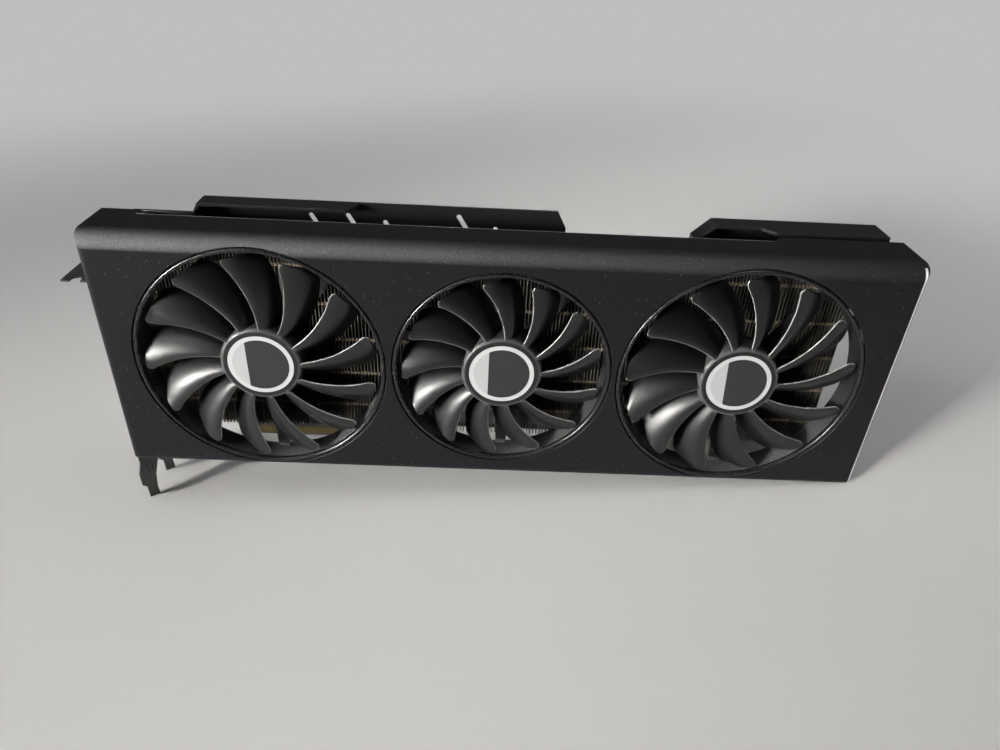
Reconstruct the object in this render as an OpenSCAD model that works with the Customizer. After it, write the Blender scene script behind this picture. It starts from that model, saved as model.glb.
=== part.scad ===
// Triple-fan graphics card: a two-slot expansion card with a moulded front cover, three
// axial fans, a fin-and-pipe heatsink, a circuit board, a slot bracket and a backplate.
// X runs along the card away from the bracket, Y from the fans to the backplate, and Z up
// from the edge connector. Places are counted from the centre fan's axis on the front
// plane, and card_frame() moves the origin to the bottom centre of the bounding box.

/* [Fans] */
// Radius of the cover openings of the two outer fans
side_hole_r = 53.4; // [48:0.1:58]
// Radius of the cover opening of the centre fan
mid_hole_r = 47.4; // [42:0.1:52]
// Cover left between two neighbouring openings
hole_web = 2.2; // [1.6:0.1:8]
// Gap between an opening and the rim of its fan frame
rim_gap = 0.35; // [0.25:0.05:0.6]
// Width of the rounded rim
rim_w = 1.85; // [1.4:0.05:2.6]
// Depth of the wide part of the rim
rim_depth = 2; // [1.6:0.1:3]
// Wall of the duct behind the rim
duct_wall = 1.5; // [1.2:0.1:1.8]
// Gap between the duct and the blade tips
tip_gap = 2.2; // [1.5:0.1:5]
// Depth of a fan frame
frame_depth = 12.6; // [11.5:0.1:18]
// Width of a motor arm
arm_w = 5; // [3:0.5:8]
// Thickness of a motor arm and of the motor base
arm_t = 2; // [1.4:0.1:2.4]
// Radius of the motor base
base_r = 16; // [13:0.5:20]

/* [Rotors] */
// Number of blades on a rotor
blade_count = 13; // [7:1:15]
// Angle that a leading edge sweeps between the hub and the tip
blade_sweep = 17; // [0:1:30]
// Angle that a blade wraps at the hub
wrap_hub = 23; // [12:1:26]
// Angle that a blade wraps at its tip
wrap_tip = 18.5; // [10:0.5:24]
// Greatest thickness of a blade
blade_t = 1.1; // [0.8:0.1:1.6]
// Gap between the blades and the motor arms
blade_gap = 1; // [0.6:0.1:2]
// How much shallower a blade is at its tip
tip_rise = 1; // [0:0.1:3]
// Angle by which the leading corner of a tip is rounded off
tip_round = 2.5; // [0:0.5:6]
// Angle by which the trailing corner of a tip is rounded off
heel_round = 3; // [0:0.5:6]
// Radius of the hub
hub_r = 17.4; // [16.8:0.1:21]
// Radius of the flat rim on the hub's face
hub_rim_r = 15.7; // [14.6:0.1:16.5]
// Wall of the hub
hub_wall = 1.5; // [1.2:0.1:2]
// Thickness of the hub's face
hub_face_t = 2; // [1.6:0.1:3]
// Radius of the hub label
label_r = 14; // [8:0.1:14.4]
// Thickness of the hub label
label_t = 0.3; // [0.2:0.05:0.5]
// Radius of the motor shaft
shaft_r = 1.5; // [1:0.1:2]
// Radial running clearance of the shaft in its bearing
shaft_fit = 0.05; // [0.02:0.01:0.09]
// Outer radius of the sleeve bearing
bearing_r = 3; // [2.6:0.1:3.4]
// Outer radius of the bearing tube
tube_r = 4.2; // [3.9:0.1:5]
// Thickness of the magnet ring
magnet_t = 1.6; // [1:0.1:2.4]
// Air gap between the magnet and the stator
air_gap = 0.6; // [0.4:0.1:1]

/* [Cover] */
// Cover between an outer opening and the end of the card
end_margin = 12.6; // [10:0.1:20]
// Cover between the outer openings and the top
top_margin = 3.6; // [3:0.1:12]
// Cover between the outer openings and the bottom
bottom_margin = 1.6; // [1.2:0.1:8]
// Wall of the cover
cover_wall = 2; // [1.6:0.1:2.6]
// Outer radius of the bend along the top
bend_r = 7.5; // [5:0.5:12]
// Outer radius of the other front edges
edge_r = 3.4; // [2.8:0.1:5]
// Depth of the top wall at the two corner tabs
tab_depth = 27.5; // [24:0.5:32]
// Depth of the top wall between the tabs
recess_depth = 22.6; // [14:0.1:24]
// Length of the left corner tab
left_tab_l = 16.5; // [8:0.5:40]
// Length of the right corner tab
right_tab_l = 53.5; // [20:0.5:70]
// Length of the slope beside a tab
tab_slope = 3.5; // [1:0.5:10]
// Depth of the bottom lip
lip_depth = 10; // [4:0.5:12]
// Radius of the cover's screw posts
post_r = 3.2; // [2.6:0.1:3.6]

/* [Heatsink] */
// Distance from one fin to the next
fin_pitch = 1.5; // [1.3:0.05:2.6]
// Thickness of a fin
fin_t = 0.4; // [0.3:0.05:0.6]
// Depth of a fin stack
fin_depth = 20.4; // [14:0.1:30]
// Thickness of the floor that the folded fin tabs make
fin_floor = 1; // [0.6:0.1:2]
// Gap between the fan frames and the fins
fin_gap = 0.4; // [0.3:0.1:2]
// Distance of the fins from the left end of the cover
fin_inset_left = 17.5; // [14:0.5:40]
// Distance of the fins from the right end of the cover
fin_inset_right = 20.5; // [16:0.5:40]
// Length of the fin stack at the right end
end_stack_l = 96; // [50:1:100]
// Gap between two fin stacks
stack_gap = 3; // [2:0.5:12]
// Distance of the fins from the bottom of the cover
fin_inset_bottom = 14; // [8:0.5:18]
// Distance of the fins from the top of the cover
fin_inset_top = 11; // [10:0.5:20]
// Rows of interlocked tabs across the front of the fins
tie_rows = 5; // [2:1:6]
// Height of a row of interlocked tabs
tie_h = 1.4; // [0.8:0.1:3]
// Depth of a row of interlocked tabs
tie_t = 0.6; // [0.4:0.1:2]
// Number of heat pipes
pipe_count = 5; // [3:1:6]
// Width of a flattened heat pipe
pipe_w = 8; // [6:0.5:9]
// Thickness of a flattened heat pipe
pipe_t = 3.4; // [2.5:0.1:5]
// Distance from one heat pipe to the next
pipe_pitch = 11; // [10:0.5:13]
// Thickness of the cold plate
cold_t = 2.4; // [2:0.1:4]
// Side of the cold plate
cold_side = 54; // [48:1:55]
// Thickness of the mid plate
mid_t = 1.6; // [1.2:0.1:1.8]

/* [Board] */
// Length of the circuit board
board_l = 259; // [240:1:290]
// Height of the circuit board with its edge connector
board_h = 111.15; // [108:0.05:112]
// Thickness of the circuit board
board_t = 1.6; // [1.4:0.1:2]
// Height of the edge connector
finger_h = 9; // [7:0.5:10]
// Side of the processor package
package_side = 44; // [36:1:46]
// Thickness of the processor package
package_t = 1.3; // [1:0.1:2]
// Side of the processor die
die_side = 22; // [14:1:30]
// Thickness of the processor die
die_t = 0.8; // [0.5:0.1:1.2]
// Thickness of the thermal paste
paste_t = 0.2; // [0.1:0.05:0.3]
// Height of a memory chip
memory_h = 1.2; // [0.8:0.1:1.4]
// Height of a power stage
stage_h = 0.9; // [0.6:0.1:1.2]
// Height of a choke
choke_h = 4; // [3:0.1:4.4]
// Height of a capacitor
capacitor_h = 4.2; // [3:0.1:4.4]
// Radius of a capacitor
capacitor_r = 3.2; // [2.5:0.1:4]
// Width of a power socket
socket_w = 18.8; // [18:0.1:20]
// Height of a power socket above the board
socket_h = 10.6; // [10:0.1:11.5]
// Depth of a power socket along its plug
socket_d = 13; // [10:0.1:14]

/* [Bracket] */
// Height from the flange's underside to the tip of a tongue
bracket_h = 120.02; // [118:0.01:122]
// Height of the flange's underside above the fans' axes
flange_z = 32; // [26:0.5:38]
// Distance between the slots of a computer case
slot_pitch = 20.32; // [20:0.01:20.6]
// Width of the bracket in one slot
slot_w = 18.42; // [17.5:0.01:19]
// Thickness of the bracket
bracket_t = 0.86; // [0.8:0.01:1.2]
// Reach of the flange
flange_l = 11.43; // [10:0.01:12]
// Gap between the bracket and the cover
bracket_gap = 1.2; // [0.8:0.1:4]
// Distance of the bracket's near edge behind the front plane
bracket_y = 7.4; // [5:0.1:9]

/* [Backplate] */
// Thickness of the backplate
back_t = 1.5; // [1:0.1:2.5]
// Gap between the circuit board and the backplate
back_gap = 2.9; // [2.8:0.1:5]
// Radius of a screw shank
screw_r = 1.25; // [1:0.05:1.5]
// Radius of a screw head
head_r = 2.5; // [2.2:0.1:3]
// Height of a screw head
head_h = 1.4; // [1:0.1:1.8]
// Number of slanted vents below the top lip
vent_count = 6; // [2:1:6]
// Distance from one vent to the next
vent_pitch = 16.4; // [8:0.1:16.6]
// Width of a vent
vent_w = 2.2; // [1.5:0.1:4]
// Slant of the vents from upright
vent_slant = 31; // [10:1:40]

/* [Hidden] */
$fn = 64;
fit = 0.05;
hole_fit = 0.15;
over = 1;

fan_pitch = side_hole_r + mid_hole_r + hole_web;
fan_count = 3;
fan_names = ["left", "centre", "right"];
fan_bases = ["fan_frame", "rotor", "hub_label", "shaft", "magnet_ring", "bearing", "stator"];
fan_x = [-fan_pitch, 0, fan_pitch];
hole_r = [side_hole_r, mid_hole_r, side_hole_r];
first_blade = [20.2, 20.9, 16.1];
arm_angles = [52, 165, 272];

cover_l = 2 * (fan_pitch + side_hole_r + end_margin);
cover_left = -cover_l / 2;
cover_right = cover_l / 2;
cover_top = side_hole_r + top_margin;
cover_bottom = -side_hole_r - bottom_margin;

// Depths of the layers, from the front plane to the screw heads on the backplate
fin_front = frame_depth + fin_gap;
fin_back = fin_front + fin_depth;
pipe_back = fin_back + pipe_t;
cold_back = pipe_back + cold_t;
mid_back = pipe_back + mid_t;
board_front = cold_back + paste_t + die_t + package_t;
board_back = board_front + board_t;
back_front = board_back + back_gap;
back_back = back_front + back_t;
card_back = back_back + head_h;

// Fins
fin_left = cover_left + fin_inset_left;
fin_right = cover_right - fin_inset_right;
end_stack_x = fin_right - end_stack_l;
stack_l = (end_stack_x - fin_left) / 2 - stack_gap;
centre_stack_x = fin_left + stack_l + stack_gap;
fin_bottom = cover_bottom + fin_inset_bottom;
fin_top = cover_top - fin_inset_top;

// Motor
hub_depth = frame_depth - arm_t - blade_gap;
cup_r = hub_r - hub_wall;
magnet_r = cup_r - magnet_t;
stator_r = magnet_r - air_gap;
stator_poles = 6;
boss_wall = 1.5;
boss_h = 1.2;
axial_gap = 0.6;
boss_r = shaft_r + boss_wall;
boss_end = hub_face_t + boss_h;
shaft_start = hub_face_t / 2;
tube_start = boss_end + axial_gap;
bearing_end = frame_depth - arm_t / 2;
shaft_end = bearing_end - axial_gap / 2;
lug_angles = [35, 145, 215, 325];
lug_reach = 4;
lug_w = 7;
lug_t = 1.8;
fan_screw_r = 1.1;
fan_screw_bite = cover_wall * 0.6;

// Bracket
bracket_out = cover_left - bracket_gap - bracket_t;
bracket_in = bracket_out + bracket_t;
bracket_w = slot_pitch + slot_w;
tongue_tip = flange_z - bracket_h;
tongue_h = 26;
foot_h = 9;
foot_lean = 12;
foot_l = foot_h / cos(foot_lean);

// Circuit board
board_side_gap = 0.6;
edge_drop = 100.36;
board_left = bracket_in + board_side_gap;
finger_tip = flange_z - edge_drop;
board_bottom = finger_tip + finger_h;
board_top = finger_tip + board_h;
chip_reach = 122;
chip_x = bracket_out + chip_reach;
chip_z = -4;
ear_offset = cold_side / 2 + 1;
ear_r = 4;
memory_offset = cold_side / 2 + 8.5;
memory_size = [12, 14];
memory_pitch = 17;
memory_pair = 20;
stage_size = [5, 6];
stage_x = chip_x + memory_offset + memory_pitch;
choke_x = stage_x + stage_size[0] * 2;
choke_size = 6.6;
choke_count = 8;
choke_pitch = 9;
capacitor_x = choke_x + choke_size * 1.5;
mid_reach = 98;
mid_left = chip_x - mid_reach;
mid_right = stage_x + stage_size[0];
mid_low = board_bottom + 6;
mid_high = board_top - 2;
socket_gap = 4.6;
socket_x = capacitor_x + capacitor_r + socket_gap + socket_w / 2;
socket_top = board_top + 2;

// Screws through the backplate into the standoffs, and into the cover's posts
standoff_places = [
    for (x = [mid_left + 6, mid_right - 8], z = [mid_low + 6, mid_high - 6]) [x, z]
];
standoff_r = 2.6;
post_inset = 12;
post_x = cover_right - post_inset + post_r / 2;
post_bite = 8;
post_places = [
    [-post_x, board_top + post_r + hole_fit],
    [post_x, cover_top - post_inset],
    [post_x, cover_bottom + post_inset]
];
ear_places = [for (sx = [-1, 1], sz = [-1, 1]) [chip_x + sx * ear_offset, chip_z + sz * ear_offset]];

// Bounding box
x_min = bracket_out - flange_l;
x_max = cover_right;

// Moves a piece from the centre fan's axis to the card's own origin
module card_frame() translate([-(x_min + x_max) / 2, -card_back / 2, -tongue_tip]) children();

// Places a fan's own axis: local Z runs from the front plane towards the board
module fan_place(i) card_frame() translate([fan_x[i], 0, 0]) rotate([-90, 0, 0]) children();

// A flat outline in X and Z, given a thickness along Y
module plate_y(y, t) translate([0, y + t, 0]) rotate([90, 0, 0]) linear_extrude(t) children();

// A flat outline in Y and Z, given a thickness along X
module plate_x(x, t) translate([x, 0, 0]) rotate([90, 0, 90]) linear_extrude(t) children();

// A round bar or bore along Y
module round_y(place, y, r, h)
    translate([place[0], y, place[1]]) rotate([-90, 0, 0]) cylinder(r = r, h = h);

// A block standing on the front of the circuit board
module board_block(x, z, w, d, h) translate([x - w / 2, board_front - h, z - d / 2]) cube([w, h, d]);

// A long hole with round ends, upright
module long_hole(l, w) {
    square([w, l - w], center = true);
    for (s = [-1, 1]) translate([0, s * (l - w) / 2]) circle(w / 2);
}

// Side outline of the cover, shrunk by an inset: bent at the top, rounded at the bottom
module cover_side(inset) {
    top_r = bend_r - inset;
    low_r = edge_r - inset;
    low = cover_bottom + inset;
    high = cover_top - inset;
    translate([inset + top_r, high - top_r]) circle(top_r);
    translate([inset + low_r, low + low_r]) circle(low_r);
    translate([inset, low + low_r]) square([tab_depth, high - top_r - low - low_r]);
    translate([inset + low_r, low]) square([tab_depth - low_r, low_r + over]);
    translate([inset + top_r, high - top_r - over]) square([tab_depth - top_r, top_r + over]);
}

// Plan outline of the cover, shrunk by an inset: rounded at both front corners
module cover_plan(inset) {
    r = edge_r - inset;
    half = cover_right - inset;
    for (s = [-1, 1]) translate([s * (half - r), inset + r]) circle(r);
    translate([-half + r, inset]) square([2 * (half - r), tab_depth]);
    translate([-half, inset + r]) square([2 * half, tab_depth - r]);
}

// Front outline of the cover, shrunk by an inset: rounded at both lower corners
module cover_front(inset) {
    r = edge_r - inset;
    half = cover_right - inset;
    low = cover_bottom + inset;
    for (s = [-1, 1]) translate([s * (half - r), low + r]) circle(r);
    translate([-half + r, low]) square([2 * (half - r), cover_top - low]);
    translate([-half, low + r]) square([2 * half, cover_top - low - r]);
}

module cover_block(inset) intersection() {
    plate_x(-cover_right, cover_l) cover_side(inset);
    translate([0, 0, cover_bottom]) linear_extrude(cover_top - cover_bottom) cover_plan(inset);
    plate_y(0, tab_depth + inset) cover_front(inset);
}

// Top wall taken away between the two corner tabs
module tab_recess() translate([0, 0, cover_top - bend_r]) linear_extrude(bend_r + over) polygon([
    [cover_left + left_tab_l, tab_depth + over],
    [cover_left + left_tab_l, tab_depth],
    [cover_left + left_tab_l + tab_slope, recess_depth],
    [cover_right - right_tab_l - tab_slope, recess_depth],
    [cover_right - right_tab_l, tab_depth],
    [cover_right - right_tab_l, tab_depth + over]
]);

function lug_place(i, a) = [
    fan_x[i] + (hole_r[i] + lug_reach / 2) * cos(a),
    (hole_r[i] + lug_reach / 2) * sin(a)
];

module front_cover() color([0.04, 0.04, 0.05]) card_frame() difference() {
    union() {
        difference() {
            cover_block(0);
            cover_block(cover_wall);
        }
        for (p = post_places) round_y(p, cover_wall / 2, post_r, back_front - cover_wall / 2);
    }
    for (i = [0 : fan_count - 1]) round_y([fan_x[i], 0], -over, hole_r[i], frame_depth + 2 * over);
    for (i = [0 : fan_count - 1], a = lug_angles)
        round_y(lug_place(i, a), cover_wall - fan_screw_bite - hole_fit, fan_screw_r + hole_fit, cover_wall);
    for (p = post_places)
        round_y(p, back_front - post_bite - over, screw_r + hole_fit, post_bite + 2 * over);
    tab_recess();
    translate([cover_left - over, lip_depth, cover_bottom - over])
        cube([cover_l + 2 * over, tab_depth, cover_wall + 2 * over]);
}

// Fan frame: rounded rim, duct wall, screw lugs, motor arms and the bearing tube
module fan_frame(i) {
    rim_r = hole_r[i] - rim_gap;
    lip_r = rim_r - rim_w;
    lug_end = hole_r[i] + lug_reach;
    rotate_extrude() {
        translate([lip_r + rim_w / 2, rim_w / 2]) circle(rim_w / 2, $fn = 32);
        translate([lip_r, rim_w / 2]) square([rim_w, rim_depth - rim_w / 2]);
        translate([lip_r, rim_w / 2]) square([duct_wall, frame_depth - rim_w / 2]);
    }
    difference() {
        for (a = lug_angles) rotate(-a) translate([lip_r + duct_wall / 2, -lug_w / 2, cover_wall])
            cube([lug_end - lip_r - duct_wall / 2, lug_w, lug_t]);
        for (a = lug_angles) rotate(-a) translate([hole_r[i] + lug_reach / 2, 0, 0])
            cylinder(r = fan_screw_r + hole_fit, h = frame_depth, $fn = 32);
    }
    difference() {
        union() {
            translate([0, 0, frame_depth - arm_t]) cylinder(r = base_r, h = arm_t);
            translate([0, 0, tube_start]) cylinder(r = tube_r, h = frame_depth - tube_start);
            for (a = arm_angles) rotate(-a)
                translate([base_r / 2, -arm_w / 2, frame_depth - arm_t])
                    cube([lip_r + duct_wall / 2 - base_r / 2, arm_w, arm_t]);
        }
        translate([0, 0, tube_start - over]) cylinder(r = bearing_r, h = bearing_end - tube_start + over);
    }
}

// Blades: each section lies at one radius, from the hub (t = 0) to the tip (t = 1), and
// follows the blade from its leading edge (s = 0) at the front to its trailing edge (s = 1)
blade_root_r = hub_r - hub_wall / 2;
blade_front = blade_t / 2;
blade_camber = 1.9;
sweep_power = 1.2;
corner_start = 0.9;
sections = [0, 0.25, 0.5, 0.75, corner_start, 0.95, 0.98, 1];
steps = [0, 0.2, 0.4, 0.6, 0.8, 1];
ring = 2 * len(steps);

function mix(a, b, t) = a + (b - a) * t;
function blade_wrap(t) = mix(wrap_hub, wrap_tip, t);
function blade_depth(t) = hub_depth - blade_front - tip_rise * t;
function rounding(t) = pow(max(0, (t - corner_start) / (1 - corner_start)), 2);
function corner(t) = tip_round * rounding(t);
function heel(t) = heel_round * rounding(t);
function chord(t) = blade_wrap(t) - corner(t) - heel(t);
function lead_angle(t) = blade_sweep * (1 - pow(t, sweep_power)) + corner(t);
function half_t(s) = blade_t / 2 * (0.5 + 0.5 * sin(150 * s + 30));
function along(t, s, r) = [
    chord(t) * r * PI / 180,
    blade_depth(t) * blade_camber * pow(max(s, 0.05), blade_camber - 1)
];
function blade_point(t, s, side, tip_r) =
    let (
        r = mix(blade_root_r, tip_r, t),
        d = along(t, s, r),
        n = [-d[1], d[0]] / norm(d),
        a = lead_angle(t) + chord(t) * s + side * half_t(s) * n[0] / r * 180 / PI,
        z = blade_front + blade_depth(t) * pow(s, blade_camber) + side * half_t(s) * n[1]
    )
    [r * cos(a), r * sin(a), z];
function blade_section(t, tip_r) = concat(
    [for (s = steps) blade_point(t, s, -1, tip_r)],
    [for (k = [len(steps) - 1 : -1 : 0]) blade_point(t, steps[k], 1, tip_r)]
);
function quad(a, b, c, d) = [[a, c, b], [a, d, c]];

module blade(tip_r) {
    last = (len(sections) - 1) * ring;
    points = [for (t = sections) each blade_section(t, tip_r)];
    skin = [for (j = [0 : len(sections) - 2], k = [0 : ring - 1])
        each quad(j * ring + k, j * ring + (k + 1) % ring,
            (j + 1) * ring + (k + 1) % ring, (j + 1) * ring + k)];
    caps = [for (k = [0 : len(steps) - 2]) each concat(
        quad(k, ring - 1 - k, ring - 2 - k, k + 1),
        quad(last + k, last + k + 1, last + ring - 2 - k, last + ring - 1 - k))];
    polyhedron(points, concat(skin, caps));
}

// Rotor: a cup that holds the magnet and the shaft, with the blades round it
module rotor(i) {
    shoulder = hub_r - hub_rim_r;
    rotate_extrude() intersection() {
        translate([hub_rim_r, shoulder]) circle(shoulder, $fn = 32);
        translate([hub_rim_r, 0]) square(shoulder);
    }
    rotate_extrude() polygon([
        [0, label_t], [label_r + fit, label_t], [label_r + fit, 0], [hub_rim_r, 0],
        [hub_r, shoulder], [hub_r, hub_depth], [cup_r, hub_depth], [cup_r, hub_face_t],
        [boss_r, hub_face_t], [boss_r, boss_end], [shaft_r, boss_end], [shaft_r, shaft_start],
        [0, shaft_start]
    ]);
    for (k = [0 : blade_count - 1]) rotate(-first_blade[i] - k * 360 / blade_count)
        blade(hole_r[i] - rim_gap - rim_w - tip_gap);
}

module hub_label(i) cylinder(r = label_r, h = label_t);

module shaft(i) translate([0, 0, shaft_start]) cylinder(r = shaft_r, h = shaft_end - shaft_start);

module magnet_ring(i) translate([0, 0, boss_end]) difference() {
    cylinder(r = cup_r, h = hub_depth - boss_end);
    translate([0, 0, -over]) cylinder(r = magnet_r, h = hub_depth);
}

module bearing(i) translate([0, 0, tube_start]) difference() {
    cylinder(r = bearing_r, h = bearing_end - tube_start);
    translate([0, 0, -over]) cylinder(r = shaft_r + shaft_fit, h = frame_depth);
}

// Stator: a ring of wound poles, each with a curved shoe facing the magnet
module stator(i) {
    pole_w = 3;
    shoe_t = 1.6;
    shoe_angle = 44;
    core_t = 1.8;
    stack_h = hub_depth - tube_start - 2 * axial_gap;
    translate([0, 0, tube_start + axial_gap]) linear_extrude(stack_h) difference() {
        union() {
            circle(tube_r + core_t);
            for (k = [0 : stator_poles - 1]) rotate(k * 360 / stator_poles) {
                translate([0, -pole_w / 2]) square([stator_r - shoe_t / 2, pole_w]);
                intersection() {
                    difference() {
                        circle(stator_r);
                        circle(stator_r - shoe_t);
                    }
                    polygon([
                        [0, 0],
                        for (s = [-1, 1]) 2 * stator_r * [cos(shoe_angle / 2), s * sin(shoe_angle / 2)]
                    ]);
                }
            }
        }
        circle(tube_r);
    }
}

module fan_screws() color([0.12, 0.12, 0.13]) card_frame()
    for (i = [0 : fan_count - 1], a = lug_angles) {
        round_y(lug_place(i, a), cover_wall - fan_screw_bite, fan_screw_r, fan_screw_bite + lug_t);
        round_y(lug_place(i, a), cover_wall + lug_t, 2 * fan_screw_r, head_h);
    }

// Room left in the fins for the power sockets and their plugs
module socket_room() translate([
    socket_x - socket_w / 2 - socket_gap,
    board_front - socket_h - socket_gap,
    socket_top - socket_d - socket_gap
]) cube([2 * socket_w + 3 * socket_gap, socket_h + socket_gap, socket_d + socket_gap + cover_top]);

// Fin stack: upright fins on a floor of folded tabs, tied by rows of interlocked tabs
module fin_stack(x, l) {
    count = floor((l - fin_t) / fin_pitch);
    floor_y = fin_back - fin_floor;
    end = x + count * fin_pitch + fin_t;
    comb = concat(
        [[x, fin_back], [x, fin_front]],
        [for (k = [0 : count - 1]) each [
            [x + k * fin_pitch + fin_t, fin_front], [x + k * fin_pitch + fin_t, floor_y],
            [x + (k + 1) * fin_pitch, floor_y], [x + (k + 1) * fin_pitch, fin_front]]],
        [[end, fin_front], [end, fin_back]]
    );
    fin_h = fin_top - fin_bottom;
    tie_inset = fin_inset_bottom - tie_h;
    tie_pitch = (fin_h - tie_inset - 4 * tie_h) / (tie_rows - 1);
    color([0.35, 0.35, 0.36]) card_frame() difference() {
        union() {
            translate([0, 0, fin_bottom]) linear_extrude(fin_h) polygon(comb);
            for (k = [0 : tie_rows - 1])
                translate([x, fin_front, fin_bottom + tie_inset + k * tie_pitch])
                    cube([end - x, tie_t, tie_h]);
        }
        socket_room();
    }
}

module fin_stack_left() fin_stack(fin_left, stack_l);

module fin_stack_centre() fin_stack(centre_stack_x, stack_l);

module fin_stack_right() fin_stack(end_stack_x, end_stack_l);

pipe_inset = 14;

module heat_pipes() color([0.72, 0.45, 0.3]) card_frame()
    for (k = [0 : pipe_count - 1]) {
        z = chip_z + (k - (pipe_count - 1) / 2) * pipe_pitch;
        plate_x(fin_left + pipe_inset, fin_right - fin_left - 2 * pipe_inset)
            translate([fin_back + pipe_t / 2, z]) long_hole(pipe_w, pipe_t);
    }

module cold_outline(grow) translate([chip_x, chip_z]) {
    square(cold_side + 2 * grow, center = true);
    for (sx = [-1, 1], sz = [-1, 1]) translate([sx * ear_offset, sz * ear_offset]) circle(ear_r + grow);
}

module cold_plate() color([0.75, 0.47, 0.32]) card_frame() plate_y(pipe_back, cold_t) difference() {
    cold_outline(0);
    for (p = ear_places) translate(p) circle(screw_r + hole_fit);
}

cold_gap = 0.5;

module mid_plate() color([0.3, 0.3, 0.31]) card_frame() plate_y(pipe_back, mid_t) difference() {
    translate([mid_left, mid_low]) square([mid_right - mid_left, mid_high - mid_low]);
    cold_outline(cold_gap);
    for (p = standoff_places) translate(p) circle(screw_r + hole_fit);
}

module thermal_paste() color([0.6, 0.6, 0.6]) card_frame()
    translate([chip_x - die_side / 2, cold_back, chip_z - die_side / 2]) cube([die_side, paste_t, die_side]);

// Memory chips: a column of three on each side of the processor and two above it
memory_places = concat(
    [for (s = [-1, 1], k = [-1, 0, 1]) [chip_x + s * memory_offset, chip_z + k * memory_pitch]],
    [for (s = [-1, 1]) [chip_x + s * memory_pair / 2, chip_z + memory_offset + 1]]
);

function choke_z(k) = chip_z + (k - (choke_count - 1) / 2) * choke_pitch;

module thermal_pads() color([0.55, 0.6, 0.65]) card_frame() {
    for (p = memory_places) translate([p[0] - memory_size[0] / 2, mid_back, p[1] - memory_size[1] / 2])
        cube([memory_size[0], board_front - memory_h - mid_back, memory_size[1]]);
    translate([stage_x - stage_size[0] / 2, mid_back, choke_z(0) - stage_size[1] / 2]) cube([
        stage_size[0],
        board_front - stage_h - mid_back,
        choke_z(choke_count - 1) - choke_z(0) + stage_size[1]
    ]);
}

module standoffs() color([0.7, 0.68, 0.6]) card_frame() for (p = standoff_places) difference() {
    round_y(p, mid_back, standoff_r, board_front - mid_back);
    round_y(p, mid_back - over, screw_r + hole_fit, board_front);
}

// Edge connector: a short and a long row of contacts with a key between, and a catch beyond
edge_reach = 45;
edge_x = bracket_out + edge_reach;
edge_short = 12.15;
edge_key = 1.9;
edge_long = 71.65;
edge_end = edge_x + edge_short + edge_key + edge_long;
catch_gap = 3;
catch_w = 9;
catch_rise = 2;
hook_h = 2.5;
contact_pitch = 1;
contact_size = [0.7, 0.05, 4.2];
contact_margin = 0.8;
contact_counts = [11, 70];

module circuit_board() color([0.05, 0.06, 0.06]) card_frame() plate_y(board_front, board_t) difference() {
    union() {
        translate([board_left, board_bottom]) square([board_l, board_top - board_bottom]);
        translate([edge_x, finger_tip]) square([edge_end - edge_x, finger_h + over]);
        translate([edge_end + catch_gap, finger_tip + catch_rise]) square([catch_w, finger_h]);
    }
    translate([edge_x + edge_short, finger_tip - over]) square([edge_key, finger_h]);
    translate([edge_end + catch_gap + catch_rise, finger_tip + 2 * catch_rise]) square([catch_w, hook_h]);
    for (p = standoff_places) translate(p) circle(screw_r + 2 * hole_fit);
    for (p = ear_places) translate(p) circle(screw_r + 2 * hole_fit);
    for (z = bracket_lugs) translate([lug_x, z]) circle(screw_r + 2 * hole_fit);
}

module edge_contacts() color([0.85, 0.65, 0.25]) card_frame() {
    starts = [edge_x, edge_x + edge_short + edge_key];
    for (j = [0, 1], k = [0 : contact_counts[j] - 1], y = [board_front - contact_size[1], board_back])
        translate([starts[j] + contact_margin + k * contact_pitch, y, finger_tip + contact_margin])
            cube(contact_size);
}

module processor_package() color([0.1, 0.25, 0.16]) card_frame()
    board_block(chip_x, chip_z, package_side, package_side, package_t);

module processor_die() color([0.25, 0.26, 0.3]) card_frame() translate([0, -package_t, 0])
    board_block(chip_x, chip_z, die_side, die_side, die_t);

module memory_chips() color([0.08, 0.08, 0.08]) card_frame()
    for (p = memory_places) board_block(p[0], p[1], memory_size[0], memory_size[1], memory_h);

module power_stages() color([0.1, 0.1, 0.1]) card_frame()
    for (k = [0 : choke_count - 1]) board_block(stage_x, choke_z(k), stage_size[0], stage_size[1], stage_h);

module chokes() color([0.2, 0.2, 0.2]) card_frame()
    for (k = [0 : choke_count - 1]) board_block(choke_x, choke_z(k), choke_size, choke_size, choke_h);

module capacitors() color([0.5, 0.5, 0.52]) card_frame()
    for (k = [0 : choke_count - 1])
        round_y([capacitor_x, choke_z(k)], board_front - capacitor_h, capacitor_r, capacitor_h);

// Power socket: a housing with two rows of cells, open at the top
cell_pitch = 4.2;
cell_w = 3.3;
cell_floor = 2;
cell_cols = 4;
latch_size = [5, 3, 1.2];
latch_drop = 4;
pin_w = 1.1;
pin_h = 9;
function socket_mid(i) = socket_x + i * (socket_w + socket_gap);
function cell_place(i, c, r) = [
    socket_mid(i) + (c - (cell_cols - 1) / 2) * cell_pitch,
    board_front - socket_h / 2 + (r - 0.5) * cell_pitch
];

module power_socket(i) color([0.05, 0.05, 0.05]) card_frame() difference() {
    union() {
        board_block(socket_mid(i), socket_top - socket_d / 2, socket_w, socket_d, socket_h);
        translate([0, -socket_h, 0])
            board_block(socket_mid(i), socket_top - latch_drop, latch_size[0], latch_size[1], latch_size[2]);
    }
    for (c = [0 : cell_cols - 1], r = [0, 1])
        translate(concat(cell_place(i, c, r), socket_top - socket_d / 2 + cell_floor))
            cube([cell_w, cell_w, socket_d], center = true);
}

module power_socket_left() power_socket(0);

module power_socket_right() power_socket(1);

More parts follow.
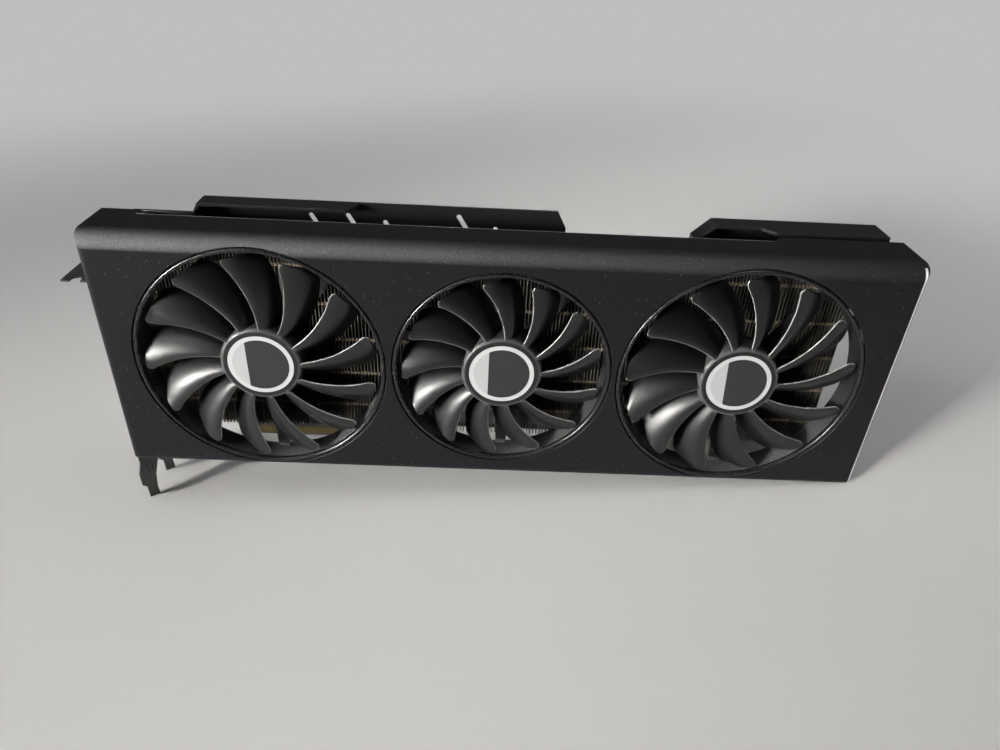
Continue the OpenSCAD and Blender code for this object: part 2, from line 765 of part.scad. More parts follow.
module power_pins() color([0.8, 0.75, 0.6]) card_frame()
    for (i = [0, 1], c = [0 : cell_cols - 1], r = [0, 1])
        translate(concat(cell_place(i, c, r), socket_top - socket_d + cell_floor + pin_h / 2))
            cube([pin_w, pin_w, pin_h], center = true);

// Fan header: a small open box for the plug of the fan leads
header_size = [10.4, 4.4, 4.2];
header_wall = 0.7;
header_z = board_bottom + 9;

module fan_header() color([0.85, 0.84, 0.8]) card_frame() difference() {
    board_block(capacitor_x, header_z, header_size[0], header_size[1], header_size[2]);
    translate([0, -over, 0]) board_block(
        capacitor_x, header_z,
        header_size[0] - 2 * header_wall, header_size[1] - 2 * header_wall, header_size[2]
    );
}

// Slot bracket: a plate with a folded flange and two tongues that hold it in a computer case
display_pitch = 20.3;
display_l = [17.6, 17.6, 17.6, 15];
display_h = 5.6;
display_lift = 0.5;
display_gap = 0.4;
display_y = board_front - display_h / 2 - display_lift;
fold_l = 14;
fold_h = 6;
lug_x = bracket_in + 8;
bracket_lugs = [flange_z - fold_h / 2, board_bottom + fold_h / 2 + display_gap];
display_top = flange_z - fold_h - display_l[0] / 2 - 3 * display_gap;
display_zs = [for (k = [0 : len(display_l) - 1]) display_top - k * display_pitch];
flange_slot = [4.42, 8];
grille_size = [4, 10];
grille_pitch = [8, 13];
grille_rows = 6;
emboss_size = [4.6, 8];
emboss_place = [7.4, 17];
emboss_w = 1;
emboss_t = 0.4;

// Outline of a tongue down to its foot, with a hooked shoulder at the front
module tongue() polygon([
    [1, tongue_h], [15.6, tongue_h], [15.6, 15], [10.5, foot_h], [1.2, foot_h], [-2.4, 13], [-2.8, 20]
]);

// Foot of a tongue: it leans inwards and enters the slot of the case
module foot() translate([bracket_out, 0, tongue_tip + foot_h]) rotate([0, -foot_lean, 0])
    plate_x(0, bracket_t) polygon([[1.2, 0], [10.5, 0], [7.6, -5], [6.8, -foot_l], [-0.2, -5.4]]);

module slot_bracket() color([0.06, 0.06, 0.06]) card_frame() difference() {
    union() {
        plate_x(bracket_out, bracket_t) difference() {
            union() {
                translate([bracket_y, tongue_tip + tongue_h - over])
                    square([bracket_w, bracket_h - tongue_h + over + bracket_t]);
                for (s = [0, 1]) translate([bracket_y + s * slot_pitch, tongue_tip]) tongue();
            }
            for (k = [0 : len(display_zs) - 1]) translate([display_y, display_zs[k]])
                square([display_h + 2 * display_gap, display_l[k] + 2 * display_gap], center = true);
            for (k = [0 : grille_rows - 1], c = [0, 1])
                translate([bracket_y + 6 + c * grille_pitch[0], flange_z - 14 - k * grille_pitch[1]])
                    long_hole(grille_size[1], grille_size[0]);
        }
        for (s = [0, 1]) translate([0, bracket_y + s * slot_pitch, 0]) foot();
        for (s = [0, 1]) plate_x(bracket_in, emboss_t)
            translate([bracket_y + s * slot_pitch + emboss_place[0], tongue_tip + emboss_place[1]])
                difference() {
                    long_hole(emboss_size[1], emboss_size[0]);
                    long_hole(emboss_size[1] - 2 * emboss_w, emboss_size[0] - 2 * emboss_w);
                }
        translate([x_min, bracket_y, flange_z]) cube([flange_l + bracket_t, bracket_w, bracket_t]);
        for (z = bracket_lugs) translate([bracket_out, board_front - bracket_t, z - fold_h / 2])
            cube([fold_l, bracket_t, fold_h]);
    }
    for (s = [0, 1])
        translate([x_min + flange_l / 2, bracket_y + s * slot_pitch, flange_z - over])
            linear_extrude(4 * over) long_hole(flange_slot[1], flange_slot[0]);
    for (z = bracket_lugs) round_y([lug_x, z], board_front - 2 * over, screw_r + hole_fit, 3 * over);
}

module bracket_screws() color([0.15, 0.15, 0.15]) card_frame() for (z = bracket_lugs) {
    round_y([lug_x, z], board_front - bracket_t - head_h, head_r, head_h);
    round_y([lug_x, z], board_front - bracket_t, screw_r, board_t + bracket_t);
}

// Display sockets: metal shells that reach through the bracket, with a contact tab inside
module display_socket(z, l, cut) {
    shell = 0.5;
    depth = 14;
    back_wall = 3;
    tab_inset = 2.5;
    tab_t = 1;
    half = display_h / 2;
    module mouth(grow) translate([display_y, z]) polygon([
        [-half - grow, -l / 2 - grow], [half + grow, -l / 2 - grow], [half + grow, l / 2 + grow - cut],
        [half + grow - cut, l / 2 + grow], [-half - grow, l / 2 + grow]
    ]);
    difference() {
        plate_x(bracket_out, depth) mouth(0);
        plate_x(bracket_out - over, depth - back_wall + over) mouth(-shell);
    }
    translate([bracket_out + back_wall / 2, display_y - tab_t / 2, z - l / 2 + tab_inset])
        cube([depth - back_wall, tab_t, l - 2 * tab_inset]);
    translate([bracket_in + display_gap, display_y + half - shell, z - l / 2 + 1])
        cube([depth - back_wall, board_front - display_y - half + shell, l - 2 - cut]);
}

module wide_display_sockets() color([0.7, 0.7, 0.7]) card_frame()
    for (k = [0 : 2]) display_socket(display_zs[k], display_l[k], 1.8);

module narrow_display_socket() color([0.7, 0.7, 0.7]) card_frame()
    display_socket(display_zs[3], display_l[3], 1.2);

// Backplate: raised over the board and at the end, with lips folded forward along its top
back_left = board_left + 4;
back_right = cover_right - 3.5;
back_low = board_bottom + 5;
back_mid = cover_top - 7.5;
notch_z = socket_top;
raise_slope = 4;
end_slope = 8;
plug_room = 9.6;
raised_left = [cover_left + 31.5, socket_x - socket_w / 2 - socket_gap];
raised_right = socket_mid(1) + socket_w / 2 + plug_room;
lip_reach = 10;
end_lip_reach = 15.5;
lip_l = 68;
lip_slope = 5;
end_lip_step = 20;
vent_l = 9;
vent_start = raised_left[0] + 50;
vent_drops = [5.5, 5, 7.5, 10, 3.5, 8.5];
end_vent_count = 6;
end_vent_pitch = 10.5;
end_vent_l = 71;
end_vent_w = 5.6;
end_vent_taper = 6;

module back_outline() polygon([
    [back_left, back_low], [back_right, back_low], [back_right, cover_top],
    [raised_right + end_slope, cover_top], [raised_right, back_mid], [raised_right, notch_z],
    [raised_left[1], notch_z], [raised_left[1], back_mid], [raised_left[1] - raise_slope, cover_top],
    [raised_left[0] + raise_slope, cover_top], [raised_left[0], back_mid], [back_left, back_mid]
]);

// Slanted vents, each cut to its own height below the top
module vent_row() for (k = [0 : vent_count - 1])
    translate([vent_start + k * vent_pitch, cover_top - vent_drops[k]]) rotate(vent_slant)
        translate([0, -vent_l / 2]) long_hole(vent_l, vent_w);

// Long slanted openings behind the end fan, through which its air leaves
module end_vents() for (k = [0 : end_vent_count - 1]) {
    from_mid = k - (end_vent_count - 1) / 2;
    translate([fan_x[2] + from_mid * end_vent_pitch, 0]) rotate(vent_slant)
        long_hole(end_vent_l - abs(from_mid) * end_vent_taper, end_vent_w);
}

// Lips: a band inside the outline, folded forward as far as a plan outline lets it reach
module top_lips() intersection() {
    plate_y(back_back - end_lip_reach, end_lip_reach - back_t / 2) difference() {
        back_outline();
        offset(delta = -back_t) back_outline();
    }
    translate([0, 0, back_mid - over]) linear_extrude(cover_top - back_mid + 2 * over) {
        polygon([
            [raised_left[0], back_back], [raised_left[0], back_back - lip_reach],
            [raised_left[0] + lip_l, back_back - lip_reach], [raised_left[0] + lip_l + lip_slope, back_back]
        ]);
        polygon([
            [raised_right, back_back], [raised_right, back_back - lip_reach],
            [raised_right + end_slope + end_lip_step, back_back - lip_reach],
            [raised_right + end_slope + end_lip_step + lip_slope, back_back - end_lip_reach],
            [cover_right, back_back - end_lip_reach], [cover_right, back_back]
        ]);
    }
}

module backplate() color([0.04, 0.04, 0.05]) card_frame() difference() {
    union() {
        plate_y(back_front, back_t) back_outline();
        top_lips();
    }
    plate_y(back_front - over, back_t + 2 * over) {
        vent_row();
        end_vents();
        for (p = concat(standoff_places, post_places)) translate(p) circle(screw_r + hole_fit);
        for (p = ear_places) translate(p) circle(ear_r + 2 * hole_fit);
    }
}

module backplate_spacers() color([0.6, 0.6, 0.6]) card_frame() for (p = standoff_places) difference() {
    round_y(p, board_back, standoff_r, back_gap);
    round_y(p, board_back - over, screw_r + hole_fit, back_gap + 2 * over);
}

module backplate_screws() color([0.15, 0.15, 0.15]) card_frame() {
    for (p = standoff_places) round_y(p, mid_back, screw_r, back_back - mid_back);
    for (p = post_places) round_y(p, back_front - post_bite, screw_r, post_bite + back_t);
    for (p = concat(standoff_places, post_places)) round_y(p, back_back, head_r, head_h);
}

// Retention bracket: a sprung cross behind the board that pulls the cold plate to the die
retention_t = 1.2;
retention_ring_r = [9, 15];

module retention_outline() difference() {
    union() {
        for (a = [45, 135]) translate([chip_x, chip_z]) rotate(a)
            square([2 * sqrt(2) * ear_offset, 2 * ear_r], center = true);
        for (p = ear_places) translate(p) circle(ear_r);
        translate([chip_x, chip_z]) circle(retention_ring_r[1]);
    }
    translate([chip_x, chip_z]) circle(retention_ring_r[0]);
    for (p = ear_places) translate(p) circle(screw_r + hole_fit);
}

module retention_bracket() color([0.55, 0.55, 0.56]) card_frame()
    plate_y(board_back, retention_t) retention_outline();

module spring_screws() color([0.65, 0.65, 0.66]) card_frame() for (p = ear_places) {
    round_y(p, pipe_back + cold_gap, screw_r, board_back + retention_t - pipe_back - cold_gap);
    round_y(p, board_back + retention_t, 2 * screw_r + cold_gap, head_h);
}

module fan_node(base, i) {
    if (base == "fan_frame") color([0.07, 0.07, 0.07]) fan_place(i) fan_frame(i);
    if (base == "rotor") color([0.09, 0.09, 0.09]) fan_place(i) rotor(i);
    if (base == "hub_label") color([0.75, 0.75, 0.76]) fan_place(i) hub_label(i);
    if (base == "shaft") color([0.7, 0.7, 0.7]) fan_place(i) shaft(i);
    if (base == "magnet_ring") color([0.2, 0.2, 0.21]) fan_place(i) magnet_ring(i);
    if (base == "bearing") color([0.7, 0.55, 0.3]) fan_place(i) bearing(i);
    if (base == "stator") color([0.6, 0.35, 0.2]) fan_place(i) stator(i);
}

for (i = [0 : fan_count - 1], base = fan_bases)
    fan_node(base, i);
front_cover();
fan_screws();
fin_stack_left();
fin_stack_centre();
fin_stack_right();
heat_pipes();
cold_plate();
mid_plate();
thermal_paste();
thermal_pads();
standoffs();
circuit_board();
edge_contacts();
processor_package();
processor_die();
memory_chips();
power_stages();
chokes();
capacitors();
power_socket_left();
power_socket_right();
power_pins();
fan_header();
slot_bracket();
bracket_screws();
wide_display_sockets();
narrow_display_socket();
backplate();
backplate_spacers();
backplate_screws();
retention_bracket();
spring_screws();
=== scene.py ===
import itertools
import math

import bmesh
import bpy
from mathutils import Matrix, Vector


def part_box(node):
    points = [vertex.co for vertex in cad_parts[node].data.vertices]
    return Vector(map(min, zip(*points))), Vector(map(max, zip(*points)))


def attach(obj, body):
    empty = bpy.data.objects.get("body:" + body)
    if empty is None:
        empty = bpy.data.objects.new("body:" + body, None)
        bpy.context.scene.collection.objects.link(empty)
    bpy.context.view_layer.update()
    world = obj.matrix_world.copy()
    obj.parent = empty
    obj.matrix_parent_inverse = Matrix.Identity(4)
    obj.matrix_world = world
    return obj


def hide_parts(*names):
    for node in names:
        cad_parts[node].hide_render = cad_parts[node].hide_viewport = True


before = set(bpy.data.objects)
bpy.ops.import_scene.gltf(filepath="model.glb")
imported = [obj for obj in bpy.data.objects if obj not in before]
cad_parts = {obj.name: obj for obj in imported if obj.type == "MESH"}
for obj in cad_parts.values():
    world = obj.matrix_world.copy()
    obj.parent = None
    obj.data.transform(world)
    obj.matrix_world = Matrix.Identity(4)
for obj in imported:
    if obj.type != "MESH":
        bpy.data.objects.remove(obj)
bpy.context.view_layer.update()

# The studio. The card stands on the tongues of its bracket at one end and on the lower edge
# of its cover at the other, so the pale floor climbs gently under it and levels out beyond.
mm = 0.001
flange_reach = 11.43 * mm
tongue_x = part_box("slot_bracket")[0].x + flange_reach
cover_low, cover_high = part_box("front_cover")
floor_mid = (tongue_x + cover_high.x) / 2
floor_bend = 0.3
floor_rise = cover_low.z / 2 / math.tanh((cover_high.x - floor_mid) / floor_bend)
floor_mesh = bpy.data.meshes.new("floor")
floor_points = []
floor_steps = 200
for k in range(-floor_steps, floor_steps + 1):
    share = k / floor_steps
    x = floor_mid + 6.0 * share ** 3 + 0.6 * share
    height = cover_low.z / 2 + floor_rise * math.tanh((x - floor_mid) / floor_bend)
    floor_points += [(x, -5.0, height), (x, 9.0, height)]
strips = [(2 * k, 2 * k + 2, 2 * k + 3, 2 * k + 1) for k in range(2 * floor_steps)]
floor_mesh.from_pydata(floor_points, [], strips)
floor_mesh.shade_smooth()
floor = bpy.data.objects.new("floor", floor_mesh)
bpy.context.collection.objects.link(floor)


class Tone:
    """A node socket. Arithmetic on it adds Math nodes, and node() adds any other node."""

    def __init__(self, tree, socket):
        self.tree = tree
        self.socket = socket

    def link(self, socket, value):
        if isinstance(value, Tone):
            self.tree.links.new(value.socket, socket)
        else:
            socket.default_value = value

    def node(self, kind, settings, values, out=0):
        made = self.tree.nodes.new(kind)
        for name, setting in settings.items():
            setattr(made, name, setting)
        for name, value in values.items():
            self.link(made.inputs[name], value)
        return Tone(self.tree, made.outputs[out])

    def math(self, operation, first, second):
        return self.node("ShaderNodeMath", {"operation": operation}, {0: first, 1: second})

    def axis(self, index):
        return self.node("ShaderNodeSeparateXYZ", {}, {0: self}, out=index)

    def at_least(self, value):
        return self.math("MAXIMUM", self, value)

    def scaled(self, *factors):
        return self.node("ShaderNodeVectorMath", {"operation": "MULTIPLY"}, {0: self, 1: factors})

    def __add__(self, other):
        return self.math("ADD", self, other)

    def __sub__(self, other):
        return self.math("SUBTRACT", self, other)

    def __rsub__(self, other):
        return self.math("SUBTRACT", other, self)

    def __mul__(self, other):
        return self.math("MULTIPLY", self, other)

    def __truediv__(self, other):
        return self.math("DIVIDE", self, other)

    def __pow__(self, other):
        return self.math("POWER", self, other)

    def __lt__(self, other):
        return self.math("LESS_THAN", self, other)

    def __gt__(self, other):
        return self.math("GREATER_THAN", self, other)

    def __abs__(self):
        return self.math("ABSOLUTE", self, 0.0)

    __radd__ = __add__
    __rmul__ = __mul__


def noise(place, size, detail=2.0):
    return place.node("ShaderNodeTexNoise", {}, {"Vector": place, "Scale": 1 / size, "Detail": detail})


def blend(amount, first, second):
    ends = [tint if isinstance(tint, Tone) else (*tint, 1.0) for tint in (first, second)]
    return amount.node("ShaderNodeMix", {"data_type": "RGBA"}, {0: amount, 6: ends[0], 7: ends[1]}, out=2)


def finish(name, draw, **plain):
    material = bpy.data.materials.new(name)
    material.use_nodes = True
    tree = material.node_tree
    shader = tree.nodes["Principled BSDF"]
    place = Tone(tree, tree.nodes.new("ShaderNodeTexCoord").outputs["Object"])
    for socket, value in {**plain, **draw(place)}.items():
        place.link(shader.inputs[socket], value)
    return material


backdrop = 0.52


def floor_paint(place):
    cloud = noise(place, 0.4)
    reach = (place.axis(0) ** 2.0 + place.axis(1) ** 2.0) ** 0.5
    far = reach.node("ShaderNodeMapRange", {"interpolation_type": "SMOOTHSTEP"}, {"Value": reach, 1: 0.4, 2: 1.1})
    seen = place.node("ShaderNodeLightPath", {}, {}, out="Is Camera Ray")
    shade = blend(cloud, (0.62, 0.62, 0.61), (0.66, 0.66, 0.65))
    return {
        "Base Color": blend(far * seen, shade, (0.0, 0.0, 0.0)),
        "Roughness": 0.55 + 0.1 * cloud,
        "Emission Color": blend(far * seen, (0.0, 0.0, 0.0), (backdrop, backdrop, backdrop)),
        "Emission Strength": 1.0,
    }


floor_mesh.materials.append(finish("floor_paint", floor_paint, **{"Specular IOR Level": 0.0}))


def lamp(name, place, aim, width, height, power, colour, spread=180.0):
    light = bpy.data.lights.new(name, "AREA")
    light.shape = "RECTANGLE"
    light.size = width
    light.size_y = height
    light.energy = power
    light.color = colour
    light.spread = math.radians(spread)
    holder = bpy.data.objects.new(name, light)
    holder.location = place
    holder.rotation_euler = (Vector(aim) - Vector(place)).to_track_quat("-Z", "Y").to_euler()
    bpy.context.collection.objects.link(holder)


lamp("window", (-1.82, -1.30, 0.395), (-0.04, -0.02, 0.085), 0.60, 0.52, 2.6, (1.0, 0.98, 0.95), 20.0)
lamp("sky", (-0.62, -0.50, 0.92), (-0.05, 0.0, 0.085), 0.45, 0.45, 2.0, (1.0, 0.99, 0.98))
lamp("left_high", (-1.0, -0.18, 0.60), (-0.05, 0.0, 0.085), 0.15, 0.15, 1.6, (1.0, 0.99, 0.98))
lamp("back_wash", (0.1, 1.8, 1.5), (0.1, 1.7, 0.0), 3.0, 1.6, 15.0, (0.98, 0.99, 1.0), 100.0)
lamp("right_edge", (1.1, 0.20, 0.30), (0.15, 0.0, 0.085), 0.4, 0.5, 5.0, (1.0, 1.0, 1.0))
lamp("overhead", (0.28, -0.08, 1.1), (0.10, 0.0, 0.085), 0.25, 0.25, 1.5, (1.0, 1.0, 1.0))

world = bpy.data.worlds.new("studio_air")
world.use_nodes = True
air = world.node_tree.nodes["Background"]
seen = Tone(world.node_tree, world.node_tree.nodes.new("ShaderNodeLightPath").outputs["Is Camera Ray"])
air.inputs["Color"].default_value = (1.0, 1.0, 1.0, 1.0)
seen.link(air.inputs["Strength"], 0.04 + (backdrop - 0.04) * seen)
bpy.context.scene.world = world
bpy.context.scene.view_settings.view_transform = "Standard"

camera_place = Vector((-1.4, -292.2, 258.3)) * mm
camera_aim = Vector((6.1, -24.5, 87.7)) * mm
camera_roll = math.radians(3.09)
camera = bpy.data.objects.new("camera", bpy.data.cameras.new("camera"))
camera.data.sensor_width = 36.0
camera.data.lens = 26.53
camera.data.clip_start = 0.01
camera.location = camera_place
facing = (camera_aim - camera_place).to_track_quat("-Z", "Y").to_matrix()
camera.rotation_euler = (facing @ Matrix.Rotation(camera_roll, 3, "Z")).to_euler()
bpy.context.collection.objects.link(camera)
bpy.context.scene.camera = camera


# The front cover: one moulding of fine-textured black plastic, bent over along the top, with
# three round openings. Long screws through the backplate hold it by the posts inside.
def relief(height, depth):
    return height.node("ShaderNodeBump", {}, {"Height": height, "Distance": depth, "Strength": 1.0})


def specks(place, pitch, radius):
    cells = place.node("ShaderNodeTexVoronoi", {}, {"Vector": place, "Scale": 1 / pitch})
    return cells < radius / pitch


def show(mesh, name, node_names, body):
    piece = bpy.data.objects.new(name, mesh)
    bpy.context.collection.objects.link(piece)
    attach(piece, body)
    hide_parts(*node_names)
    return piece


def softened(node, width, material):
    work = bmesh.new()
    work.from_mesh(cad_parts[node].data)
    work.transform(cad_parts[node].matrix_world)
    bmesh.ops.remove_doubles(work, verts=work.verts, dist=0.002 * mm)
    bmesh.ops.dissolve_limit(work, angle_limit=math.radians(0.5), verts=work.verts, edges=work.edges)
    mesh = bpy.data.meshes.new(node + "_soft")
    work.to_mesh(mesh)
    work.free()
    mesh.materials.clear()
    mesh.materials.append(material)
    mesh.shade_smooth()
    mesh.set_sharp_from_angle(angle=math.radians(32))
    piece = show(mesh, node + "_soft", [node], "card")
    edges = piece.modifiers.new("edges", "BEVEL")
    edges.width = width
    edges.segments = 2
    edges.limit_method = "ANGLE"
    edges.angle_limit = math.radians(40)
    edges.use_clamp_overlap = False
    normals = piece.modifiers.new("normals", "WEIGHTED_NORMAL")
    normals.weight = 100
    normals.keep_sharp = True
    return piece


cover_bend = 7.0 * mm
end_round = 3.4 * mm
wall_edge = 22.6 * mm
tab_ends = (16.5 * mm, 57.0 * mm)


def cover_paint(place):
    x, y, z = place.axis(0), place.axis(1), place.axis(2)
    grain = noise(place, 0.6 * mm, 3.0)
    dust = specks(place, 2.2 * mm, 0.14 * mm) * (noise(place, 22 * mm) > 0.44)
    shade = blend(noise(place, 70 * mm), (0.007, 0.007, 0.0085), (0.010, 0.010, 0.012))
    # Painted highlight: a lighter band of colour with fine pale specks across the top bend, strongest at the left end
    # and fading towards the right.
    climb = ((z - (cover_high.z - cover_bend)) / cover_bend).at_least(0.0)
    bend = 4.0 * climb * (1.0 - climb) * (y < cover_low.y + cover_bend)
    highlight_fade = (1.0 - 0.75 * (x - cover_low.x) / (cover_high.x - cover_low.x)) ** 2.0
    shade = blend(bend * highlight_fade * noise(place, 0.45 * mm, 4.0), shade, (0.24, 0.24, 0.245))
    shade = blend(bend * highlight_fade * specks(place, 0.8 * mm, 0.16 * mm), shade, (0.16, 0.16, 0.165))
    # Painted highlights: thin pale lines along the rounded right end and along the rear edge of the top wall.
    end_highlight = (abs(x - (cover_high.x - 0.5 * end_round)) < 0.5 * mm) * (y < cover_low.y + end_round)
    between = (x > cover_low.x + tab_ends[0]) * (x < cover_high.x - tab_ends[1])
    rear_highlight = (abs(y - (cover_low.y + wall_edge - 0.25 * mm)) < 0.3 * mm) * between * (z > cover_high.z - 0.5 * mm)
    shade = blend(end_highlight + 0.8 * rear_highlight, shade, (0.80, 0.80, 0.80))
    return {
        "Base Color": blend(dust, shade, (0.28, 0.28, 0.28)),
        "Roughness": 0.36 + 0.14 * grain,
        "Normal": relief(grain, 0.05 * mm),
    }


softened("front_cover", 0.35 * mm, finish("cover_plastic", cover_paint, **{"Specular IOR Level": 0.16}))


# The fan frames: moulded black rings screwed behind the cover by lugs. A glossy rounded rim fills
# each opening, the grained duct behind it leads the air, and three arms carry the motor base.
rim_w = 1.85
rim_depth = 2.0
duct_wall = 1.5
frame_depth = 12.6
arm_angles = (52, 165, 272)
arm_w = 5.0
arm_t = 2.0
motor_base_r = 16.0
tube = (4.2, 3.8)
bearing_bore = (3.0, 11.6)
lug_angles = (35, 145, 215, 325)
lug_w = 7.0
lug_span = (2.0, 3.8)
lug_reach = 4.35


def lathe(work, profile, axis, steps):
    """Adds a turned body about a line along Y. The profile holds pairs of radius and depth."""
    loops = []
    for r, y in profile:
        count = 1 if r == 0 else steps
        turns = [2 * math.pi * k / steps for k in range(count)]
        loops.append([work.verts.new(axis + Vector((r * math.cos(a), y, r * math.sin(a))) * mm) for a in turns])
    for low, high in zip(loops, loops[1:]):
        for k in range(steps):
            corners = [low[k % len(low)], low[(k + 1) % len(low)], high[(k + 1) % len(high)], high[k % len(high)]]
            work.faces.new(list(dict.fromkeys(corners)))


def block(work, low, high, place=Matrix()):
    corners = [
        work.verts.new(place @ Vector((x, y, z)))
        for x in (low[0], high[0]) for y in (low[1], high[1]) for z in (low[2], high[2])
    ]
    for face in ((0, 1, 3, 2), (4, 6, 7, 5), (0, 4, 5, 1), (2, 3, 7, 6), (0, 2, 6, 4), (1, 5, 7, 3)):
        work.faces.new([corners[k] for k in face])


def frame_mesh(axis, rim_r):
    lip_r = rim_r - rim_w
    half = rim_w / 2
    bead = [(lip_r + half + half * math.cos(math.radians(a)), half - half * math.sin(math.radians(a))) for a in range(0, 181, 15)]
    duct = [(lip_r, frame_depth), (lip_r + duct_wall, frame_depth), (lip_r + duct_wall, rim_depth), (rim_r, rim_depth)]
    motor = [(0.0, bearing_bore[1]), bearing_bore, (bearing_bore[0], tube[1]), tube, (tube[0], frame_depth - arm_t)]
    motor += [(motor_base_r, frame_depth - arm_t), (motor_base_r, frame_depth), (0.0, frame_depth)]
    work = bmesh.new()
    lathe(work, bead + duct + bead[:1], axis, 128)
    lathe(work, motor, axis, 64)
    bmesh.ops.remove_doubles(work, verts=work.verts, dist=0.002 * mm)
    bars = [(a, motor_base_r / 2, lip_r + duct_wall / 2, arm_w, (frame_depth - arm_t, frame_depth)) for a in arm_angles]
    bars += [(a, lip_r + duct_wall / 2, rim_r + lug_reach, lug_w, lug_span) for a in lug_angles]
    for angle, near, far, width, span in bars:
        place = Matrix.Translation(axis) @ Matrix.Rotation(-math.radians(angle), 4, "Y") @ Matrix.Scale(mm, 4)
        block(work, (near, span[0], -width / 2), (far, span[1], width / 2), place)
    bmesh.ops.recalc_face_normals(work, faces=work.faces)
    mesh = bpy.data.meshes.new("fan_frame")
    work.to_mesh(mesh)
    work.free()
    return mesh


def frame_paint(low, high):
    def draw(place):
        grain = noise(place, 0.4 * mm, 3.0)
        duct = place.axis(1) > low.y + rim_depth * 1.1 * mm
        sunk = (1.0 - (place.axis(2) - low.z) / (0.5 * (high.z - low.z))).at_least(0.0)
        shade = blend(noise(place, 15 * mm), (0.008, 0.008, 0.0085), (0.012, 0.012, 0.0125))
        return {
            "Base Color": blend(duct * sunk * (0.4 * grain + specks(place, 0.9 * mm, 0.16 * mm)), shade, (0.34, 0.34, 0.34)),
            "Roughness": 0.22 + 0.1 * grain + 0.28 * duct,
            "Normal": relief(grain * duct, 0.08 * mm),
        }
    return draw


fans = ("left", "centre", "right")
fan_axes = {}
fan_rims = {}
for fan in fans:
    low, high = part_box("hub_label_" + fan)
    fan_axes[fan] = Vector(((low.x + high.x) / 2, low.y, (low.z + high.z) / 2))
    low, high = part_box("fan_frame_" + fan)
    fan_rims[fan] = (high.z - low.z) / 2 / mm
    ring = frame_mesh(Vector((fan_axes[fan].x, low.y, fan_axes[fan].z)), fan_rims[fan])
    ring.materials.append(finish("frame_plastic_" + fan, frame_paint(low, high)))
    ring.shade_smooth()
    ring.set_sharp_from_angle(angle=math.radians(32))
    show(ring, "fan_ring_" + fan, ["fan_frame_" + fan], "card")

# The rotors: satin black mouldings, each a cup with thirteen swept blades round it. A blade is
# nearly flat at its rounded leading edge and turns back steeply towards its trailing edge.
blade_count = 13
first_blade = (20.2, 20.9, 16.1)
blade_sweep = 17.0
sweep_power = 1.2
wrap_hub = 23.0
wrap_tip = 18.5
tip_round = 2.5
heel_round = 3.0
blade_t = 1.1
blade_camber = 1.9
tip_rise = 1.0
tip_gap = 2.2
hub_r = 17.4
hub_rim_r = 15.7
hub_wall = 1.5
hub_face_t = 2.0
hub_depth = 9.6
label_r = 14.05
label_t = 0.3
boss = (3.0, 3.2)
shaft_seat = (1.5, 1.0)


def mix(first, second, amount):
    return first + (second - first) * amount


def blade_section(t, tip_r, steps):
    """A closed outline at one share t of the blade's length: front side, trailing edge, rear side, nose."""
    r = mix(hub_r - hub_wall / 2, tip_r, t)
    corner = max(0.0, (t - 0.9) / 0.1) ** 2
    lead = blade_sweep * (1 - t ** sweep_power) + tip_round * corner
    chord = mix(wrap_hub, wrap_tip, t) - (tip_round + heel_round) * corner
    depth = hub_depth - blade_t / 2 - tip_rise * t

    def point(s, side, ahead=0.0):
        half = blade_t / 2 * (0.5 + 0.5 * math.sin(math.radians(150 * s + 30)))
        along = Vector((math.radians(chord) * r, depth * blade_camber * max(s, 0.05) ** (blade_camber - 1))).normalized()
        turn = math.radians(lead + chord * s) + (side * half * -along.y - ahead * half * along.x) / r
        level = blade_t / 2 + depth * s ** blade_camber + side * half * along.x - ahead * half * along.y
        return (r * math.cos(turn), level, -r * math.sin(turn))

    shares = [k / steps for k in range(steps + 1)]
    nose = [math.radians(a) for a in (60, 20, -20, -60)]
    return (
        [point(s, -1.0) for s in shares]
        + [point(s, 1.0) for s in reversed(shares)]
        + [point(0.0, math.sin(a), math.cos(a)) for a in nose]
    )


def blade_mesh(tip_r):
    rings = [blade_section(t, tip_r, 14) for t in [k / 20 for k in range(17)] + [0.83, 0.86, 0.89, 0.92, 0.95, 0.975, 1.0]]
    count = len(rings[0])
    work = bmesh.new()
    nose = work.verts.layers.float.new("nose")
    loops = [[work.verts.new(Vector(p) * mm) for p in ring] for ring in rings]
    # The nose weights mark a painted highlight: a pale line of colour along each blade's rounded leading edge.
    for loop in loops:
        for vert, share in zip(loop[-4:], (0.3, 1.0, 1.0, 0.6)):
            vert[nose] = share
    for low, high in zip(loops, loops[1:]):
        for k in range(count):
            work.faces.new((low[k], low[(k + 1) % count], high[(k + 1) % count], high[k]))
    work.faces.new(loops[0])
    work.faces.new(loops[-1])
    bmesh.ops.recalc_face_normals(work, faces=work.faces)
    mesh = bpy.data.meshes.new("blade")
    work.to_mesh(mesh)
    work.free()
    return mesh


def group(name, sockets, result):
    tree = bpy.data.node_groups.new(name, "GeometryNodeTree")
    for socket, kind in sockets.items():
        tree.interface.new_socket(socket, in_out="INPUT", socket_type="NodeSocket" + kind)
    tree.interface.new_socket(result, in_out="OUTPUT", socket_type="NodeSocketGeometry")
    start = tree.nodes.new("NodeGroupInput")
    return tree, {socket: Tone(tree, start.outputs[socket]) for socket in sockets}


def close(tree, shape, material):
    real = shape.node("GeometryNodeRealizeInstances", {}, {0: shape})
    dressed = real.node("GeometryNodeSetMaterial", {}, {"Geometry": real, "Material": material})
    dressed.link(tree.nodes.new("NodeGroupOutput").inputs[0], dressed)


